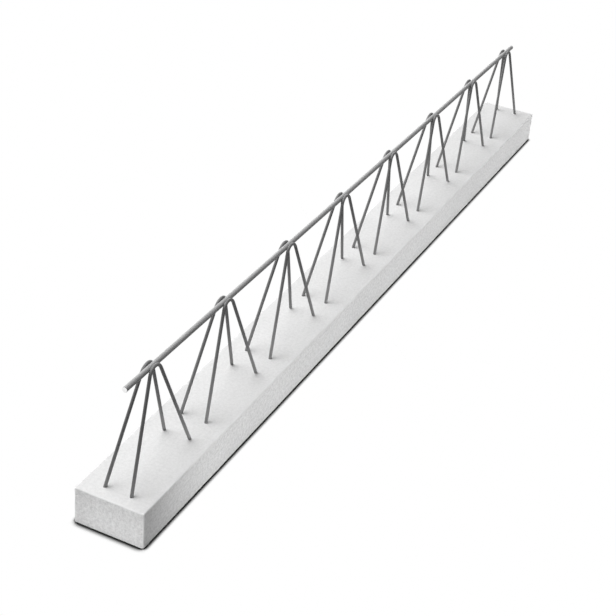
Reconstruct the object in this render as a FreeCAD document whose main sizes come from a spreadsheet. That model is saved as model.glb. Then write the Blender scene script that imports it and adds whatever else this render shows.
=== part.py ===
# Precast floor beam: a concrete foot with a welded lattice girder cast into it.
# The beam lies along X, with its underside on Z = 0 and its origin in the middle of that underside.
# Seen from the -X end, left is +Y. All sizes are in millimetres.
import FreeCAD, Part
import math
import os
import Sketcher

doc = FreeCAD.newDocument("precast_floor_beam")

# Driving dimensions
SIZES = (
    ("foot_length", 1600, "concrete foot along the beam"),
    ("foot_width", 110, "concrete foot across the beam"),
    ("foot_height", 60, "underside to top face of the concrete"),
    ("foot_arris", 2, "bevel that eases the concrete's edges"),
    ("girder_height", 200, "underside of the lower bends to top of the upper bends"),
    ("girder_cover", 25, "concrete under the lower bends"),
    ("girder_pitch", 200, "one upper bend to the next"),
    ("wire_diameter", 5, "diagonal wires"),
    ("bend_radius", 15, "bends of the wires, on the centre line"),
    ("lower_spread", 48, "between the two wires' centre lines at the lower bends"),
    ("top_chord_diameter", 8, "top chord bar"),
    ("top_chord_near_inset", 35, "-X end of the foot to that end of the top chord"),
    ("top_chord_far_inset", 60, "+X end of the foot to that end of the top chord"),
    ("upper_overshoot", 1.5, "upper bends above the top of the top chord"),
    ("bottom_chord_diameter", 8, "bottom chord bars"),
    ("bottom_chord_inset", 25, "each end of the foot to the ends of the bottom chords"),
    ("lower_overshoot", 1.5, "lower bends past the underside of the bottom chords"),
    ("weld_set_down", 0.4, "how far two welded bars press into each other"),
)

sheet = doc.addObject("Spreadsheet::Sheet", "Sizes")
for row, (alias, size, meaning) in enumerate(SIZES, start=1):
    sheet.set(f"A{row}", meaning)
    sheet.set(f"B{row}", str(size))
    sheet.setAlias(f"B{row}", alias)
doc.recompute()

# A hair of a pitch, so that a length of whole pitches counts them all
PITCH_SLACK = 0.001

# Values worked out from the driving dimensions, as expressions
UPPER_BENDS = f"floor(Sizes.foot_length / Sizes.girder_pitch + {PITCH_SLACK})"
LAST_BEND = f"(({UPPER_BENDS} - 1) / 2 * Sizes.girder_pitch)"
GIRDER_TOP = "(Sizes.girder_cover + Sizes.girder_height)"
TOP_CHORD_LEVEL = f"({GIRDER_TOP} - Sizes.upper_overshoot - Sizes.top_chord_diameter / 2)"
UPPER_BEND_LEVEL = f"({GIRDER_TOP} - Sizes.wire_diameter / 2)"
LOWER_BEND_LEVEL = "(Sizes.girder_cover + Sizes.wire_diameter / 2)"

# Each wire lies in a plane that leans inwards and passes the chords' axes at these distances
TOP_WELD = "((Sizes.top_chord_diameter + Sizes.wire_diameter) / 2 - Sizes.weld_set_down)"
BOTTOM_WELD = "((Sizes.bottom_chord_diameter + Sizes.wire_diameter) / 2 - Sizes.weld_set_down)"
HALF_SPREAD = "(Sizes.lower_spread / 2)"
CHORD_DROP = f"({TOP_CHORD_LEVEL} - {LOWER_BEND_LEVEL})"
LEAN = f"(atan2({HALF_SPREAD}; {CHORD_DROP}) - asin({TOP_WELD} / hypot({HALF_SPREAD}; {CHORD_DROP})))"

# Heights within a wire's plane, from the point nearest the top chord's axis
WELD_LEVEL = f"({TOP_CHORD_LEVEL} + {TOP_WELD} * sin({LEAN}))"
UPPER_REACH = f"(({UPPER_BEND_LEVEL} - {WELD_LEVEL}) / cos({LEAN}))"
LOWER_REACH = f"(({WELD_LEVEL} - {LOWER_BEND_LEVEL}) / cos({LEAN}))"
BOTTOM_CHORD_DEPTH = (
    f"({LOWER_REACH} + Sizes.wire_diameter / 2 - Sizes.lower_overshoot - Sizes.bottom_chord_diameter / 2)"
)

# The wires are round, and six flats stand for that, which keeps so many bends light
WIRE_SIDES = 6

# A drawn slope for the legs, from which the sketches' own constraints find the true one
DRAWN_SLOPE = math.radians(65)

LEFT, RIGHT = 1, -1

# How a sketch names the points of its geometry, its own axes and its normal
START, END, CENTRE = 1, 2, 3
ORIGIN = (-1, START)
VERTICAL_AXIS = -2
OUT_OF_SKETCH = FreeCAD.Vector(0, 0, 1)


def origin_feature(body, role):
    return next(f for f in body.Origin.OriginFeatures if f.Role == role)


def add_named(sketch, name, expression, *constraint):
    """Adds a dimension to a sketch and ties it to the sizes."""
    value = sheet.evalExpression(expression)
    index = sketch.addConstraint(Sketcher.Constraint(*constraint, float(value)))
    sketch.renameConstraint(index, name)
    sketch.setExpression(f"Constraints.{name}", expression)


def draw_outline(sketch, corners):
    """Joins corners with straight sides into a closed outline."""
    followers = corners[1:] + corners[:1]
    sides = [sketch.addGeometry(Part.LineSegment(*ends)) for ends in zip(corners, followers)]
    for side, follower in zip(sides, sides[1:] + sides[:1]):
        sketch.addConstraint(Sketcher.Constraint("Coincident", side, END, follower, START))
    return sides


def draw_zigzag(body, name, bends_back, with_valley):
    """Draws a leg, an upper bend, a leg and a lower bend, with the upper bend on the sketch's own axis."""
    sketch = body.newObject("Sketcher::SketchObject", name)
    sketch.AttachmentSupport = [(origin_feature(body, "XZ_Plane"), "")]
    sketch.MapMode = "FlatFace"
    sketch.setExpression("AttachmentOffset.Base.x", f"-{bends_back} * Sizes.girder_pitch")

    radius = sheet.bend_radius
    crown = FreeCAD.Vector(0, float(sheet.evalExpression(UPPER_REACH)) - radius)
    valley = FreeCAD.Vector(sheet.girder_pitch / 2, radius - float(sheet.evalExpression(LOWER_REACH)))
    crown_arc = Part.ArcOfCircle(
        Part.Circle(crown, OUT_OF_SKETCH, radius), math.pi / 2 - DRAWN_SLOPE, math.pi / 2 + DRAWN_SLOPE
    )
    valley_arc = Part.ArcOfCircle(
        Part.Circle(valley, OUT_OF_SKETCH, radius), -math.pi / 2 - DRAWN_SLOPE, -math.pi / 2 + DRAWN_SLOPE
    )
    mirrored_foot = FreeCAD.Vector(-valley_arc.StartPoint.x, valley_arc.StartPoint.y)

    rising_leg = sketch.addGeometry(Part.LineSegment(mirrored_foot, crown_arc.EndPoint))
    upper_bend = sketch.addGeometry(crown_arc)
    falling_leg = sketch.addGeometry(Part.LineSegment(crown_arc.StartPoint, valley_arc.StartPoint))
    lower_bend = sketch.addGeometry(valley_arc, not with_valley)

    sketch.addConstraint(Sketcher.Constraint("Tangent", rising_leg, END, upper_bend, END))
    sketch.addConstraint(Sketcher.Constraint("Tangent", upper_bend, START, falling_leg, START))
    sketch.addConstraint(Sketcher.Constraint("Tangent", falling_leg, END, lower_bend, START))
    sketch.addConstraint(Sketcher.Constraint("Horizontal", upper_bend, START, upper_bend, END))
    sketch.addConstraint(Sketcher.Constraint("Horizontal", lower_bend, START, lower_bend, END))
    sketch.addConstraint(Sketcher.Constraint("Horizontal", rising_leg, START, falling_leg, END))
    sketch.addConstraint(Sketcher.Constraint("PointOnObject", upper_bend, CENTRE, VERTICAL_AXIS))
    add_named(sketch, "upper_radius", "Sizes.bend_radius", "Radius", upper_bend)
    add_named(sketch, "lower_radius", "Sizes.bend_radius", "Radius", lower_bend)
    add_named(sketch, "crown_drop", f"Sizes.bend_radius - {UPPER_REACH}",
              "DistanceY", upper_bend, CENTRE, *ORIGIN)
    add_named(sketch, "valley_depth", f"{LOWER_REACH} - Sizes.bend_radius",
              "DistanceY", lower_bend, CENTRE, *ORIGIN)
    add_named(sketch, "half_pitch", "Sizes.girder_pitch / 2",
              "DistanceX", *ORIGIN, lower_bend, CENTRE)
    doc.recompute()
    return sketch


def draw_wire_section(sketch):
    """Draws the wire's section, a regular polygon with its flats on the wire's diameter."""
    half_side = math.pi / WIRE_SIDES
    reach = sheet.wire_diameter / 2 / math.cos(half_side)
    directions = [(2 * number + 1) * half_side for number in range(WIRE_SIDES)]
    corners = [FreeCAD.Vector(reach * math.cos(angle), reach * math.sin(angle)) for angle in directions]
    sides = draw_outline(sketch, corners)
    circle = sketch.addGeometry(Part.Circle(FreeCAD.Vector(), OUT_OF_SKETCH, reach), True)
    sketch.addConstraint(Sketcher.Constraint("Coincident", circle, CENTRE, *ORIGIN))
    for side in sides:
        sketch.addConstraint(Sketcher.Constraint("PointOnObject", side, START, circle))
    for side in sides[1:]:
        sketch.addConstraint(Sketcher.Constraint("Equal", sides[0], side))
    sketch.addConstraint(Sketcher.Constraint("Vertical", sides[-1]))
    add_named(sketch, "across_corners", f"Sizes.wire_diameter / cos(180 / {WIRE_SIDES})", "Diameter", circle)


def sweep_wire(body, name, path, edge_count):
    """Sweeps the wire along the first edges of a path, from its start."""
    section = body.newObject("Sketcher::SketchObject", f"{name}_section")
    section.AttachmentSupport = [(path, "Edge1")]
    section.MapMode = "NormalToEdge"
    section.MapPathParameter = 0
    draw_wire_section(section)

    pipe = body.newObject("PartDesign::AdditivePipe", name)
    pipe.Profile = section
    pipe.Spine = (path, [f"Edge{number}" for number in range(1, edge_count + 1)])
    doc.recompute()
    return pipe


def make_diagonal(label, side):
    """One continuous zigzag wire: its last bend, then the repeat unit patterned back along the beam."""
    body = doc.addObject("PartDesign::Body", label)
    body.Label = label
    sweep_wire(body, "last_bend", draw_zigzag(body, "last_bend_path", 0, with_valley=False), 3)
    unit = sweep_wire(body, "bend", draw_zigzag(body, "bend_path", 1, with_valley=True), 4)

    pattern = body.newObject("PartDesign::LinearPattern", "bends")
    pattern.Originals = [unit]
    pattern.Direction = (origin_feature(body, "X_Axis"), [""])
    pattern.Reversed = True
    pattern.Mode = "Spacing"
    pattern.setExpression("Offset", "Sizes.girder_pitch")
    pattern.setExpression("Occurrences", f"{UPPER_BENDS} - 1")
    body.Tip = pattern

    body.setExpression(
        "Placement",
        f"placement(vector({LAST_BEND}; {side} * {TOP_WELD} * cos({LEAN}); {WELD_LEVEL});"
        f" rotation(vector(1; 0; 0); {side} * {LEAN}))",
    )
    doc.recompute()
    return body


def make_bar(name, diameter, length, placement):
    """A straight round bar along X."""
    bar = doc.addObject("Part::Cylinder", name)
    bar.setExpression("Radius", f"{diameter} / 2")
    bar.setExpression("Height", length)
    bar.setExpression("Placement", placement)
    doc.recompute()
    return bar


def make_top_bar():
    return make_bar(
        "top_bar",
        "Sizes.top_chord_diameter",
        "Sizes.foot_length - Sizes.top_chord_near_inset - Sizes.top_chord_far_inset",
        f"placement(vector(Sizes.top_chord_near_inset - Sizes.foot_length / 2; 0; {TOP_CHORD_LEVEL});"
        " rotation(vector(0; 1; 0); 90))",
    )


def make_bottom_bar(name, diagonal, side):
    """A bar on the outer side of a wire's lower bends, placed in that wire's own plane."""
    start = f"Sizes.bottom_chord_inset - Sizes.foot_length / 2 - {LAST_BEND}"
    return make_bar(
        name,
        "Sizes.bottom_chord_diameter",
        "Sizes.foot_length - 2 * Sizes.bottom_chord_inset",
        f"{diagonal.Name}.Placement"
        f" * placement(vector({start}; {side} * {BOTTOM_WELD}; -{BOTTOM_CHORD_DEPTH});"
        " rotation(vector(0; 1; 0); 90))",
    )


def make_block():
    """The concrete before the steel takes its room: a rectangular bar with eased arrises."""
    body = doc.addObject("PartDesign::Body", "concrete_block")
    section = body.newObject("Sketcher::SketchObject", "block_section")
    section.AttachmentSupport = [(origin_feature(body, "YZ_Plane"), "")]
    section.MapMode = "FlatFace"
    half_width = sheet.foot_width / 2
    bottom, right, top, left = draw_outline(section, [
        FreeCAD.Vector(-half_width, 0),
        FreeCAD.Vector(half_width, 0),
        FreeCAD.Vector(half_width, sheet.foot_height),
        FreeCAD.Vector(-half_width, sheet.foot_height),
    ])
    for side in (bottom, top):
        section.addConstraint(Sketcher.Constraint("Horizontal", side))
    for side in (right, left):
        section.addConstraint(Sketcher.Constraint("Vertical", side))
    section.addConstraint(Sketcher.Constraint("Symmetric", bottom, START, bottom, END, *ORIGIN))
    add_named(section, "width", "Sizes.foot_width", "DistanceX", bottom, START, bottom, END)
    add_named(section, "height", "Sizes.foot_height", "DistanceY", right, START, right, END)

    pad = body.newObject("PartDesign::Pad", "block_length")
    pad.Profile = section
    pad.Midplane = True
    pad.setExpression("Length", "Sizes.foot_length")
    doc.recompute()

    arrises = body.newObject("PartDesign::Chamfer", "arrises")
    arrises.Base = (pad, [f"Edge{number}" for number in range(1, len(pad.Shape.Edges) + 1)])
    arrises.setExpression("Size", "Sizes.foot_arris")
    doc.recompute()
    return body


def cut_by(label, base, tools):
    """Takes the room of every tool out of the base."""
    for number, tool in enumerate(tools, start=1):
        cut = doc.addObject("Part::Cut", f"{label}_cut_{number}")
        cut.Base = base
        cut.Tool = tool
        base = cut
    base.Label = label
    doc.recompute()
    return base


# The two wires come first: every other piece seats on them
diagonal_left = make_diagonal("diagonal_left", LEFT)
diagonal_right = make_diagonal("diagonal_right", RIGHT)
diagonals = [diagonal_left, diagonal_right]

# The chords carry the dents that the wires pressed into them when they were welded
left_bar = make_bottom_bar("left_bottom_bar", diagonal_left, LEFT)
right_bar = make_bottom_bar("right_bottom_bar", diagonal_right, RIGHT)
top_chord = cut_by("top_chord", make_top_bar(), diagonals)
bottom_chord_left = cut_by("bottom_chord_left", left_bar, [diagonal_left])
bottom_chord_right = cut_by("bottom_chord_right", right_bar, [diagonal_right])

# The concrete is cast round the lower part of the girder
concrete_foot = cut_by("concrete_foot", make_block(), [*diagonals, left_bar, right_bar])

SUB_PARTS = [concrete_foot, top_chord, *diagonals, bottom_chord_left, bottom_chord_right]

doc.recompute()
for item in doc.Objects:
    if "Invalid" in item.State or "Error" in item.State:
        raise RuntimeError(f"{item.Label} failed: {item.State}")
for item in SUB_PARTS:
    if item.Shape.isNull() or not item.Shape.isValid():
        raise RuntimeError(f"{item.Label} has no valid shape")
    if len(item.Shape.Solids) != 1:
        raise RuntimeError(f"{item.Label} should be one solid, not {len(item.Shape.Solids)}")

os.makedirs("parts", exist_ok=True)
for item in SUB_PARTS:
    item.Shape.exportStep(f"parts/{item.Label}.step")
    box = item.Shape.BoundBox
    print(item.Label, round(item.Shape.Volume), "mm3", [round(v, 2) for v in (
        box.XMin, box.XMax, box.YMin, box.YMax, box.ZMin, box.ZMax)])
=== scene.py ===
"""Looks of a precast floor beam: a pale concrete foot with a welded lattice girder standing in it."""
import itertools
import math
import random

import bmesh
import bpy
from mathutils import Matrix, Quaternion, Vector, noise


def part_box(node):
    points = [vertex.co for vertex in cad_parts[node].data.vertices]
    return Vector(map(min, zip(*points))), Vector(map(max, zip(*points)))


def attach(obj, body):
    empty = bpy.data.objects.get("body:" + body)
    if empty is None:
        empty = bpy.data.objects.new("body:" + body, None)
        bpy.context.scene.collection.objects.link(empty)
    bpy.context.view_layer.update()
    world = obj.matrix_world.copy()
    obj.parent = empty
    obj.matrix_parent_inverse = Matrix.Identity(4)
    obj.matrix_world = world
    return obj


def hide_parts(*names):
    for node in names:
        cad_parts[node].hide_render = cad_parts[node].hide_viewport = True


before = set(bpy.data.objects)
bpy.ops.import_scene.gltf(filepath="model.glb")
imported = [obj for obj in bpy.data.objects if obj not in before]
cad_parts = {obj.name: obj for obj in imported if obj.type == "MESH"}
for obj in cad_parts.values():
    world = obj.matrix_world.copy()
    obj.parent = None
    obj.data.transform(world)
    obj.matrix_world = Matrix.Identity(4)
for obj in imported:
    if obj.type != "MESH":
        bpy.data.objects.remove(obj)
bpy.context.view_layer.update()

BODY = "root"
LEFT, RIGHT = 1, -1
AXES, UP_AXIS = 3, 2
MM = 0.001

# Sizes in metres. X runs along the beam, Z is up and left is +Y
FOOT_LOW, FOOT_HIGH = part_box("concrete_foot")
CHORD_LOW, CHORD_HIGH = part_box("top_chord")
CHORD_RADIUS = (CHORD_HIGH.z - CHORD_LOW.z) / 2
CHORD_LEVEL = (CHORD_HIGH.z + CHORD_LOW.z) / 2
GIRDER_PITCH = 200 * MM
GIRDER_COVER = 25 * MM
GIRDER_HEIGHT = 200 * MM
WIRE_RADIUS = 2.5 * MM
BEND_RADIUS = 15 * MM
LOWER_SPREAD = 48 * MM
WELD_SET_DOWN = 0.4 * MM

# The concrete's mesh: even cells on the flat and a grid line at each of these angles round an arris
GRID_SPACING = 6 * MM
ARRIS_RADIUS = 2 * MM
ARRIS_ANGLES = (45, 30, 15)
ARRIS_TOLERANCE = 1e-6
ARRIS_LAYER = "arris"

# How deep the concrete's unevenness is and how long its waves are, and the fractal's fade, step and octaves
FLOAT_RELIEF = 0.35 * MM
FLOAT_WAVE = 28 * MM
MOULD_RELIEF = 0.08 * MM
MOULD_WAVE = 40 * MM
ARRIS_RELIEF = 0.25 * MM
ARRIS_WAVE = 9 * MM
RELIEF_FRACTAL = (1.0, 2.0, 4)
FACING_UP = 0.5

# Air pits: their depth is a share of their radius, and a ring is a share of the radius and of the depth
PIT_COUNT = 160
PIT_RADIUS = (0.4 * MM, 0.9 * MM)
PIT_DEPTH = 0.8
PIT_SIDES = 8
PIT_RINGS = ((1.0, 0.0), (0.8, 0.6))
PIT_SEED = 11

# The steel's meshes: a cut end has rings at these shares of the rounding of its edge
BAR_SIDES = 32
BAR_LAYER = "bar_place"
BEND_STEPS = 24
CHORD_STEP = 20 * MM
CUT_ROUND = 0.4 * MM
CUT_RINGS = (0.0, 0.3, 1.0)
CUT_SLOT = 1

# Weld beads: half sizes along the wire, out of its plane and across it, and the noise of their lumps
BEAD_SIZE = Vector((2.4, 1.1, 1.4)) * MM
BEAD_DIVISIONS = 3
BEAD_ROUGHNESS = 0.18
BEAD_WAVE = 2.5 * MM
BEAD_SPAN = 2 * MM

# Most of a noise lies between the low and the high level
NOISE_LOW, NOISE_MIDDLE, NOISE_HIGH = 0.3, 0.5, 0.7

# The concrete's finish. Stops pair a noise level with a tone, and a bump is its strength and its depth
CLOUD_WAVE = 90 * MM
CLOUD_STOPS = ((NOISE_LOW, 0.78), (NOISE_HIGH, 0.83))
SAND_WAVE = 5 * MM
SAND_STOPS = ((0.36, 0.72), (0.62, 1.0))
SAND_ON_SIDES, SAND_ON_TOP = 1.0, 0.4
# Tone of the arrises: partly paler wear, partly a painted highlight along the edges
ARRIS_WEAR_AND_HIGHLIGHT_TONE = 0.78
GRAIN_WAVE = 1.6 * MM
CONCRETE_ROUGHNESS = (0.82, 0.98)
CONCRETE_BUMP = (0.35, 0.4 * MM)
CONCRETE_GLOSS = 0.25

# The finish of the drawn bars: the dark and the light of their streaks, and the mill scale on them
CHORD_TONES = ((0.36, 0.36, 0.361), (0.48, 0.48, 0.481))
CHORD_METALLIC = 0.05
WIRE_TONES = ((0.18, 0.18, 0.181), (0.27, 0.27, 0.271))
WIRE_METALLIC = 0.08
STREAK_WAVE = 0.7 * MM
STREAK_SQUEEZE = (0.012, 1.0, 1.0)
MILL_SCALE_WAVE = 20 * MM
MILL_SCALE_SHARE = 0.55
STEEL_ROUGHNESS = (0.36, 0.50)
STEEL_BUMP = (0.15, 0.1 * MM)
STEEL_GLOSS = 0.1

# The finish of the sheared ends
CUT_STOPS = ((NOISE_LOW, 0.82), (NOISE_HIGH, 0.95))
CUT_WAVE = 0.5 * MM
CUT_SQUEEZE = (1.0, 1.0, 0.06)
CUT_ROUGHNESS = (0.45, 0.65)
CUT_BUMP = (0.2, 0.1 * MM)
CUT_METALLIC = 1.0

# The finish of the weld beads, from a blue to a straw heat tint
WELD_STOPS = ((NOISE_LOW, (0.075, 0.08, 0.10)), (NOISE_MIDDLE, 0.11), (NOISE_HIGH, (0.14, 0.12, 0.09)))
WELD_WAVE = 4 * MM
WELD_ROUGHNESS = (0.4, 0.65)
WELD_BUMP = (0.3, 0.3 * MM)
WELD_METALLIC = 0.7

# The floor, just below the foot, with its tone for the light that it throws back
FLOOR_SIZE = 20
FLOOR_DROP = 0.1 * MM
FLOOR_TONE = 0.2

# The shade on the floor: its reach from the foot, its longer reach off the -X end, the stretch over which
# it grows to that, and its tones by how open a point of the floor is
SHADE_REACH = 9 * MM
NEAR_SHADE_REACH = 13 * MM
NEAR_SHADE_GROWTH = 7 * MM
SHADE_SAMPLES = 16
SHADE_STOPS = ((0.63, 0.02), (0.90, 1.0))

# How strong the surroundings are as light, and as they look
WORLD_LIGHT = 0.17
WORLD_LOOK = 1.0

# Area lamps: name, place, aim, width and height in metres, watts, spread in degrees
LAMPS = (
    ("key", (-0.4, 1.9, 2.6), (0, 0, 0), (4.2, 4.2), 172, 180),
    ("far_left", (1.9, 1.15, 0.42), (0, 0, 0.2), (1.8, 0.6), 8, 180),
    ("left", (-0.4, 1.2, 0.3), (-0.1, 0, 0.17), (2.0, 0.12), 0.3, 50),
    ("right", (0.10, -0.5, 0.04), (0.10, 0, 0.03), (1.7, 0.06), 0.64, 40),
    ("front", (-1.3, -0.1, 0.035), (-0.8, -0.06, 0.02), (0.3, 0.03), 0.06, 24),
)

# The camera, above and in front of the beam's -X end
IMAGE_SIDE = 616
FOCAL_PIXELS = 1441.8
SENSOR_WIDTH = 36
CAMERA_PLACE = Vector((-2.0744, -0.8167, 1.2943))
CAMERA_HEADING = math.radians(23.54)
CAMERA_PITCH = math.radians(-31.23)
CAMERA_ROLL = math.radians(5.40)

# Numbers of the sockets that a colour mix uses, because sockets of that node share their names
MIX_FACTOR, MIX_FIRST, MIX_SECOND, MIX_RESULT = 0, 6, 7, 2


def lattice():
    """The plane of each wire and the run of the zigzag in it, worked out from the girder's sizes."""
    upper_level = GIRDER_COVER + GIRDER_HEIGHT - WIRE_RADIUS
    lower_level = GIRDER_COVER + WIRE_RADIUS
    weld = CHORD_RADIUS + WIRE_RADIUS - WELD_SET_DOWN
    half_spread = LOWER_SPREAD / 2
    drop = CHORD_LEVEL - lower_level
    lean = math.atan2(half_spread, drop) - math.asin(weld / math.hypot(half_spread, drop))
    weld_level = CHORD_LEVEL + weld * math.sin(lean)
    top = (upper_level - weld_level) / math.cos(lean)
    bottom = (lower_level - weld_level) / math.cos(lean)
    half_pitch = GIRDER_PITCH / 2
    rise = top - bottom - 2 * BEND_RADIUS
    slope = math.atan2(rise, half_pitch) + math.asin(2 * BEND_RADIUS / math.hypot(half_pitch, rise))
    return {
        "lean": lean,
        "weld": weld,
        "weld_level": weld_level,
        "top": top,
        "bottom": bottom,
        "slope": slope,
    }


LATTICE = lattice()
BEND_COUNT = round((FOOT_HIGH.x - FOOT_LOW.x) / GIRDER_PITCH)
BENDS = [FOOT_LOW.x + (number + 0.5) * GIRDER_PITCH for number in range(BEND_COUNT)]


def opaque(tone):
    """A grey or a colour as the four numbers of a colour socket, with nothing see-through."""
    colour = tone if isinstance(tone, tuple) else (tone, tone, tone)
    return (*colour, 1.0)


def add_node(tree, kind, inputs=None, **settings):
    """Adds a shader node, with its settings, and its inputs as values or as links from other sockets."""
    made = tree.nodes.new(kind)
    for name, value in settings.items():
        setattr(made, name, value)
    for name, value in (inputs or {}).items():
        if isinstance(value, bpy.types.NodeSocket):
            tree.links.new(value, made.inputs[name])
        else:
            made.inputs[name].default_value = value
    return made


def object_place(tree):
    """Where a point lies along its object's own axes."""
    return tree.nodes.new("ShaderNodeTexCoord").outputs["Object"]


def add_noise(tree, place, wave, detail=4.0, roughness=0.55):
    """Noise whose largest features are about a wave long."""
    made = add_node(tree, "ShaderNodeTexNoise", {
        "Vector": place, "Scale": 1 / wave, "Detail": detail, "Roughness": roughness,
    })
    return made.outputs["Fac"]


def add_streaks(tree, place, wave, squeeze):
    """Noise over squeezed places, which is drawn out along the axis that is squeezed most."""
    squeezed = add_node(tree, "ShaderNodeMapping", {"Vector": place, "Scale": squeeze})
    return add_noise(tree, squeezed.outputs["Vector"], wave, detail=3.0)


def add_ramp(tree, factor, stops):
    """A colour ramp with (position, grey or colour) stops."""
    made = add_node(tree, "ShaderNodeValToRGB", {"Fac": factor})
    elements = made.color_ramp.elements
    while len(elements) < len(stops):
        elements.new(1.0)
    for element, (position, tone) in zip(elements, stops):
        element.position = position
        element.color = opaque(tone)
    return made.outputs["Color"]


def mix_colour(tree, factor, first, second, blend_type="MIX"):
    """Blends the second colour over the first by a factor."""
    made = add_node(
        tree, "ShaderNodeMix", {MIX_FACTOR: factor, MIX_FIRST: first, MIX_SECOND: second},
        data_type="RGBA", blend_type=blend_type,
    )
    return made.outputs[MIX_RESULT]


def add_range(tree, value, low, high, start=0.0, end=1.0):
    """Maps start to end onto low to high."""
    made = add_node(tree, "ShaderNodeMapRange", {
        "Value": value, "From Min": start, "From Max": end, "To Min": low, "To Max": high,
    })
    return made.outputs["Result"]


def start_material(name, numbers):
    """A new material, its nodes and its shader, which gets the numbers that are the same all over."""
    made = bpy.data.materials.new(name)
    made.use_nodes = True
    shader = made.node_tree.nodes["Principled BSDF"]
    for socket, number in numbers.items():
        shader.inputs[socket].default_value = number
    return made, made.node_tree, shader


def finish_surface(tree, shader, colour, roughness, height, bump):
    """Gives a shader its colour, its roughness and a bump that follows a height."""
    strength, depth = bump
    bumped = add_node(tree, "ShaderNodeBump", {"Height": height, "Strength": strength, "Distance": depth})
    tree.links.new(colour, shader.inputs["Base Color"])
    tree.links.new(roughness, shader.inputs["Roughness"])
    tree.links.new(bumped.outputs["Normal"], shader.inputs["Normal"])


def concrete_material():
    """Pale cast concrete: cloudy patches, sand speckle that shows less on the top, and arrises made paler,
    partly as wear and partly as a painted edge highlight.
    """
    made, tree, shader = start_material("pale_concrete", {"Specular IOR Level": CONCRETE_GLOSS})
    coordinates = tree.nodes.new("ShaderNodeTexCoord").outputs
    place = coordinates["Object"]
    upward = add_node(tree, "ShaderNodeSeparateXYZ", {"Vector": coordinates["Normal"]}).outputs["Z"]
    clouds = add_ramp(tree, add_noise(tree, place, CLOUD_WAVE), CLOUD_STOPS)
    sand = add_ramp(tree, add_noise(tree, place, SAND_WAVE, roughness=0.85), SAND_STOPS)
    sand_share = add_range(tree, upward, SAND_ON_SIDES, SAND_ON_TOP)
    speckled = mix_colour(tree, sand_share, clouds, sand, "MULTIPLY")
    arris = add_node(tree, "ShaderNodeAttribute", attribute_name=ARRIS_LAYER).outputs["Fac"]
    # The arrises take a paler tone: a painted edge highlight as well as wear
    colour = mix_colour(tree, arris, speckled, opaque(ARRIS_WEAR_AND_HIGHLIGHT_TONE))
    grain = add_noise(tree, place, GRAIN_WAVE, detail=5.0, roughness=0.7)
    roughness = add_range(tree, grain, *CONCRETE_ROUGHNESS)
    finish_surface(tree, shader, colour, roughness, grain, CONCRETE_BUMP)
    return made


def steel_material(name, tones, metallic, along=None):
    """Drawn steel with fine streaks along the bar and dull patches of scale."""
    dark, light = tones
    made, tree, shader = start_material(name, {"Metallic": metallic, "Specular IOR Level": STEEL_GLOSS})
    if along:
        place = add_node(tree, "ShaderNodeAttribute", attribute_name=along).outputs["Vector"]
    else:
        place = object_place(tree)
    streaks = add_streaks(tree, place, STREAK_WAVE, STREAK_SQUEEZE)
    drawn = add_ramp(tree, streaks, ((NOISE_LOW, dark), (NOISE_HIGH, light)))
    mill_scale = add_noise(tree, place, MILL_SCALE_WAVE, detail=5.0, roughness=0.65)
    dulled = add_range(tree, mill_scale, 0.0, MILL_SCALE_SHARE)
    colour = mix_colour(tree, dulled, drawn, opaque(dark))
    roughness = add_range(tree, mill_scale, *STEEL_ROUGHNESS)
    finish_surface(tree, shader, colour, roughness, streaks, STEEL_BUMP)
    return made


def cut_steel_material():
    """A bright sheared face, with fine lines down it."""
    made, tree, shader = start_material("cut_steel", {"Metallic": CUT_METALLIC})
    lines = add_streaks(tree, object_place(tree), CUT_WAVE, CUT_SQUEEZE)
    colour = add_ramp(tree, lines, CUT_STOPS)
    finish_surface(tree, shader, colour, add_range(tree, lines, *CUT_ROUGHNESS), lines, CUT_BUMP)
    return made


def weld_material():
    """Metal squeezed out by the weld: dull, with a faint straw and blue heat tint."""
    made, tree, shader = start_material("weld_steel", {"Metallic": WELD_METALLIC})
    tint = add_noise(tree, object_place(tree), WELD_WAVE)
    colour = add_ramp(tree, tint, WELD_STOPS)
    finish_surface(tree, shader, colour, add_range(tree, tint, *WELD_ROUGHNESS), tint, WELD_BUMP)
    return made


def add_piece(name, bm, materials):
    """Turns a finished bmesh into a smooth-shaded piece on the beam's body."""
    mesh = bpy.data.meshes.new(name)
    bm.to_mesh(mesh)
    bm.free()
    for material in materials:
        mesh.materials.append(material)
    mesh.shade_smooth()
    piece = bpy.data.objects.new(name, mesh)
    bpy.context.scene.collection.objects.link(piece)
    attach(piece, BODY)
    return piece


def grid_lines(low, high):
    """Grid lines across the foot: even on the flat, closer on the round of each arris."""
    rounds = [ARRIS_RADIUS * (1 - math.tan(math.radians(angle))) for angle in ARRIS_ANGLES]
    flat_low = low + ARRIS_RADIUS
    flat = high - ARRIS_RADIUS - flat_low
    cells = round(flat / GRID_SPACING)
    middle = [flat_low + flat * number / cells for number in range(cells + 1)]
    return [low + step for step in rounds] + middle + [high - step for step in reversed(rounds)]


def surface_relief(point, outward, on_arris):
    """How far the cast surface lies behind its true plane."""
    if on_arris:
        depth, wave = ARRIS_RELIEF, ARRIS_WAVE
    elif outward.z > FACING_UP:
        depth, wave = FLOAT_RELIEF, FLOAT_WAVE
    else:
        depth, wave = MOULD_RELIEF, MOULD_WAVE
    return depth * (0.5 + 0.5 * noise.fractal(point / wave, *RELIEF_FRACTAL))


def foot_point(point):
    """A grid point moved onto the rounded, slightly uneven surface, and whether it is on an arris."""
    core = Vector(
        min(max(value, low + ARRIS_RADIUS), high - ARRIS_RADIUS)
        for value, low, high in zip(point, FOOT_LOW, FOOT_HIGH)
    )
    outward = (point - core).normalized()
    on_arris = max(map(abs, outward)) < 1 - ARRIS_TOLERANCE
    reach = ARRIS_RADIUS - max(0.0, surface_relief(point, outward, on_arris))
    return core + outward * reach, on_arris


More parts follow.
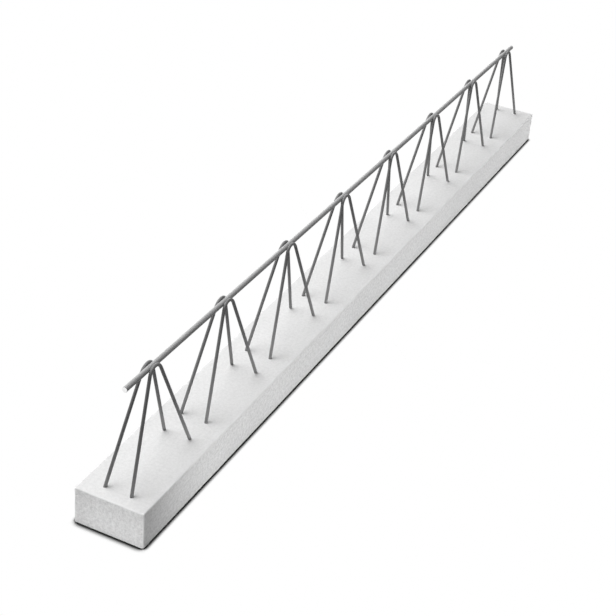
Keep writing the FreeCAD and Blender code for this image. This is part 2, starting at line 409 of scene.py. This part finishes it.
def sink_pit(bm, face, radius, depth):
    """Sinks a round air-bubble pit into one four-sided face."""
    corners = list(face.verts)
    centre = face.calc_center_median()
    inward = -face.normal
    first = (corners[0].co - centre).normalized()
    second = face.normal.cross(first)
    bm.faces.remove(face)
    rings = []
    for share, sunk in PIT_RINGS:
        ring = []
        for number in range(PIT_SIDES):
            angle = math.tau * number / PIT_SIDES
            spoke = first * math.cos(angle) + second * math.sin(angle)
            ring.append(bm.verts.new(centre + spoke * radius * share + inward * depth * sunk))
        rings.append(ring)
    rim, wall = rings
    bottom = bm.verts.new(centre + inward * depth)
    sides_each = PIT_SIDES // len(corners)
    for number, corner in enumerate(corners):
        following = corners[(number + 1) % len(corners)]
        steps = range(sides_each, -1, -1)
        around = [rim[(sides_each * number + step) % PIT_SIDES] for step in steps]
        bm.faces.new([corner, following, *around])
    for number in range(PIT_SIDES):
        after = (number + 1) % PIT_SIDES
        bm.faces.new([rim[number], rim[after], wall[after], wall[number]])
        bm.faces.new([wall[number], wall[after], bottom])


def face_keys(axis, end, u, v):
    """The grid places of a face's four corners, in the order that turns the face outwards."""
    corners = [(u, v), (u + 1, v), (u + 1, v + 1), (u, v + 1)]
    if end == 0:
        corners.reverse()
    across, up = (axis + 1) % AXES, (axis + 2) % AXES
    keys = []
    for corner in corners:
        key = [end] * AXES
        key[across], key[up] = corner
        keys.append(tuple(key))
    return keys


def make_foot(material):
    """The cast bar: eased arrises, a floated top, smoother moulded sides with small air pits."""
    lines = [grid_lines(low, high) for low, high in zip(FOOT_LOW, FOOT_HIGH)]
    last = [len(stations) - 1 for stations in lines]
    margin = len(ARRIS_ANGLES)
    bm = bmesh.new()
    arris = bm.verts.layers.float.new(ARRIS_LAYER)
    made = {}

    def vertex(key):
        """The vertex at a grid place, made when it is first asked for."""
        if key not in made:
            place, on_arris = foot_point(Vector(stations[index] for stations, index in zip(lines, key)))
            made[key] = bm.verts.new(place)
            made[key][arris] = float(on_arris)
        return made[key]

    pit_faces = []
    for axis in range(AXES):
        across, up = last[(axis + 1) % AXES], last[(axis + 2) % AXES]
        for end, u, v in itertools.product((0, last[axis]), range(across), range(up)):
            face = bm.faces.new([vertex(key) for key in face_keys(axis, end, u, v)])
            on_flat = margin <= u < across - margin and margin <= v < up - margin
            if axis != UP_AXIS and on_flat:
                pit_faces.append(face)
    bm.normal_update()
    chance = random.Random(PIT_SEED)
    for face in chance.sample(pit_faces, PIT_COUNT):
        radius = chance.uniform(*PIT_RADIUS)
        sink_pit(bm, face, radius, radius * PIT_DEPTH)
    piece = add_piece("cast_foot", bm, [material])
    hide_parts("concrete_foot")


def sweep_bar(bm, stations):
    """Joins rings along a bar and gives its two end faces.

    A station is a centre, two directions across the bar and a radius.
    """
    along = bm.verts.layers.float_vector.new(BAR_LAYER)
    rings = []
    travelled = 0.0
    for number, (centre, first, second, radius) in enumerate(stations):
        if number:
            travelled += (centre - stations[number - 1][0]).length
        ring = []
        for side in range(BAR_SIDES):
            angle = math.tau * side / BAR_SIDES
            vertex = bm.verts.new(centre + radius * (first * math.cos(angle) + second * math.sin(angle)))
            vertex[along] = (travelled, radius * math.cos(angle), radius * math.sin(angle))
            ring.append(vertex)
        rings.append(ring)
    for ring, following in zip(rings, rings[1:]):
        for side in range(BAR_SIDES):
            after = (side + 1) % BAR_SIDES
            bm.faces.new([ring[side], ring[after], following[after], following[side]])
    return [bm.faces.new(list(reversed(rings[0]))), bm.faces.new(rings[-1])]


def zigzag():
    """The centre line of a wire in its own plane, as (along, height, heading) points."""
    slope, top, bottom = LATTICE["slope"], LATTICE["top"], LATTICE["bottom"]
    points = []

    def turn(along, height, inside, start, end):
        """Goes round a bend, with inside 1 where its centre is below it and -1 where it is above."""
        for step in range(BEND_STEPS + 1):
            heading = start + (end - start) * step / BEND_STEPS
            points.append((
                along - inside * BEND_RADIUS * math.sin(heading),
                height - inside * BEND_RADIUS * (1 - math.cos(heading)),
                heading,
            ))

    foot_reach = GIRDER_PITCH / 2 - BEND_RADIUS * math.sin(slope)
    foot_height = bottom + BEND_RADIUS * (1 - math.cos(slope))
    points.append((BENDS[0] - foot_reach, foot_height, slope))
    for number, along in enumerate(BENDS):
        if number:
            turn(along - GIRDER_PITCH / 2, bottom, -1, -slope, slope)
        turn(along, top, 1, slope, -slope)
    points.append((BENDS[-1] + foot_reach, foot_height, -slope))
    return points


def wire_axes(side):
    """The middle of a wire's plane beside the chord, the way up in that plane and the way out of it."""
    lean = LATTICE["lean"]
    middle = Vector((0, side * LATTICE["weld"] * math.cos(lean), LATTICE["weld_level"]))
    up = Vector((0, -side * math.sin(lean), math.cos(lean)))
    return middle, up, Vector((1, 0, 0)).cross(up)


def make_diagonal(name, side, material):
    """One round wire bent into a zigzag, leaning on the chord and running down into the concrete."""
    middle, up, out = wire_axes(side)
    stations = []
    for along, height, heading in zigzag():
        centre = middle + Vector((along, 0, 0)) + up * height
        forward = Vector((math.cos(heading), 0, 0)) + up * math.sin(heading)
        stations.append((centre, out.cross(forward), out, WIRE_RADIUS))
    bm = bmesh.new()
    sweep_bar(bm, stations)
    piece = add_piece(f"wire_{name}", bm, [material])
    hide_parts(f"diagonal_{name}")


def make_chord(material, cut_material):
    """The straight bar along the top, with the edges of its sheared ends just rounded off."""
    length = CHORD_HIGH.x - CHORD_LOW.x
    pieces = round(length / CHORD_STEP)
    rounds = [CUT_ROUND * share for share in CUT_RINGS]
    middle = [length * number / pieces for number in range(1, pieces)]
    stations = []
    for place in rounds + middle + [length - step for step in reversed(rounds)]:
        to_end = min(place, length - place)
        lost = max(0.0, CUT_ROUND - to_end)
        radius = CHORD_RADIUS - CUT_ROUND + math.sqrt(CUT_ROUND ** 2 - lost ** 2)
        centre = Vector((CHORD_LOW.x + place, 0, CHORD_LEVEL))
        stations.append((centre, Vector((0, 1, 0)), Vector((0, 0, 1)), radius))
    bm = bmesh.new()
    for face in sweep_bar(bm, stations):
        face.material_index = CUT_SLOT
    piece = add_piece("chord_bar", bm, [material, cut_material])
    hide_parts("top_chord")


def make_welds(name, side, material):
    """A small lump of squeezed-out metal at both places where each bend crosses the chord."""
    middle, up, out = wire_axes(side)
    heading = math.acos(1 - LATTICE["top"] / BEND_RADIUS)
    reach = BEND_RADIUS * math.sin(heading)
    seat = out * (WIRE_RADIUS - WELD_SET_DOWN / 2) * side
    bm = bmesh.new()
    for bend in BENDS:
        for end in (-1, 1):
            forward = Vector((math.cos(heading), 0, 0)) - end * up * math.sin(heading)
            turned = Matrix((forward, out, forward.cross(out))).transposed()
            centre = middle + Vector((bend + end * reach, 0, 0)) + seat
            ball = bmesh.ops.create_icosphere(bm, subdivisions=BEAD_DIVISIONS, radius=1.0)
            for vertex in ball["verts"]:
                lump = 1 + BEAD_ROUGHNESS * noise.noise((vertex.co * BEAD_SPAN + centre) / BEAD_WAVE)
                vertex.co = centre + turned @ (vertex.co * lump * BEAD_SIZE)
    add_piece(f"welds_{name}", bm, [material])


def dress_bottom_chords(material):
    """Gives the two cast-in bars the chord's steel."""
    for name in ("bottom_chord_left", "bottom_chord_right"):
        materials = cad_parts[name].data.materials
        materials.clear()
        materials.append(material)


def seen_rays(tree):
    """1 for rays that show the background directly, in a reflection or through glass."""
    path = tree.nodes.new("ShaderNodeLightPath").outputs
    seen = path["Is Camera Ray"]
    for ray in ("Is Glossy Ray", "Is Transmission Ray"):
        either = add_node(tree, "ShaderNodeMath", {0: seen, 1: path[ray]}, operation="MAXIMUM")
        seen = either.outputs["Value"]
    return seen


def floor_material():
    """White where it is seen, with a dark line of shade round the foot, and greyer as a source of light."""
    made = bpy.data.materials.new("white_floor")
    made.use_nodes = True
    tree = made.node_tree
    tree.nodes.clear()
    along = add_node(tree, "ShaderNodeSeparateXYZ", {"Vector": object_place(tree)}).outputs["X"]
    near_edge = FOOT_LOW.x
    reach = add_range(tree, along, NEAR_SHADE_REACH, SHADE_REACH, near_edge - NEAR_SHADE_GROWTH, near_edge)
    shade = add_node(tree, "ShaderNodeAmbientOcclusion", {"Distance": reach}, samples=SHADE_SAMPLES)
    line = add_ramp(tree, shade.outputs["AO"], SHADE_STOPS)
    seen = add_node(tree, "ShaderNodeEmission", {"Color": line, "Strength": 1.0})
    lit = add_node(tree, "ShaderNodeBsdfDiffuse", {"Color": opaque(FLOOR_TONE)})
    shown = add_node(tree, "ShaderNodeMixShader", {
        "Fac": seen_rays(tree), 1: lit.outputs["BSDF"], 2: seen.outputs["Emission"],
    })
    add_node(tree, "ShaderNodeOutputMaterial", {"Surface": shown.outputs["Shader"]})
    return made


def make_floor():
    """A plain floor under the beam."""
    bm = bmesh.new()
    bmesh.ops.create_grid(bm, x_segments=1, y_segments=1, size=FLOOR_SIZE)
    mesh = bpy.data.meshes.new("floor")
    bm.to_mesh(mesh)
    bm.free()
    mesh.materials.append(floor_material())
    floor = bpy.data.objects.new("floor", mesh)
    floor.location.z = FOOT_LOW.z - FLOOR_DROP
    bpy.context.scene.collection.objects.link(floor)


def make_world():
    """Even white surroundings that light the beam more softly than they look."""
    world = bpy.data.worlds.new("studio")
    bpy.context.scene.world = world
    world.use_nodes = True
    tree = world.node_tree
    background = tree.nodes["Background"]
    background.inputs["Color"].default_value = opaque(1.0)
    strength = add_range(tree, seen_rays(tree), WORLD_LIGHT, WORLD_LOOK)
    tree.links.new(strength, background.inputs["Strength"])


def add_lamp(name, place, aim, size, power, spread):
    """An area lamp that faces its aim."""
    lamp = bpy.data.lights.new(name, "AREA")
    lamp.shape = "RECTANGLE"
    lamp.size, lamp.size_y = size
    lamp.energy = power
    lamp.spread = math.radians(spread)
    made = bpy.data.objects.new(name, lamp)
    made.location = place
    made.rotation_euler = (Vector(aim) - Vector(place)).to_track_quat("-Z", "Y").to_euler()
    bpy.context.scene.collection.objects.link(made)


def make_camera():
    """A camera that looks down along the beam, rolled a little, with no shift."""
    camera = bpy.data.cameras.new("camera")
    camera.sensor_width = SENSOR_WIDTH
    camera.lens = FOCAL_PIXELS / IMAGE_SIDE * SENSOR_WIDTH
    made = bpy.data.objects.new("camera", camera)
    made.location = CAMERA_PLACE
    forward = Vector((
        math.cos(CAMERA_HEADING) * math.cos(CAMERA_PITCH),
        math.sin(CAMERA_HEADING) * math.cos(CAMERA_PITCH),
        math.sin(CAMERA_PITCH),
    ))
    made.rotation_mode = "QUATERNION"
    made.rotation_quaternion = forward.to_track_quat("-Z", "Y") @ Quaternion((0, 0, 1), CAMERA_ROLL)
    bpy.context.scene.collection.objects.link(made)
    bpy.context.scene.camera = made


concrete = concrete_material()
chord_steel = steel_material("chord_steel", CHORD_TONES, CHORD_METALLIC)
wire_steel = steel_material("wire_steel", WIRE_TONES, WIRE_METALLIC, along=BAR_LAYER)
weld_steel = weld_material()

make_foot(concrete)
make_chord(chord_steel, cut_steel_material())
for side_name, side in (("left", LEFT), ("right", RIGHT)):
    make_diagonal(side_name, side, wire_steel)
    make_welds(side_name, side, weld_steel)
dress_bottom_chords(chord_steel)

make_floor()
make_world()
for lamp_facts in LAMPS:
    add_lamp(*lamp_facts)
make_camera()
bpy.context.scene.view_settings.view_transform = "Standard"
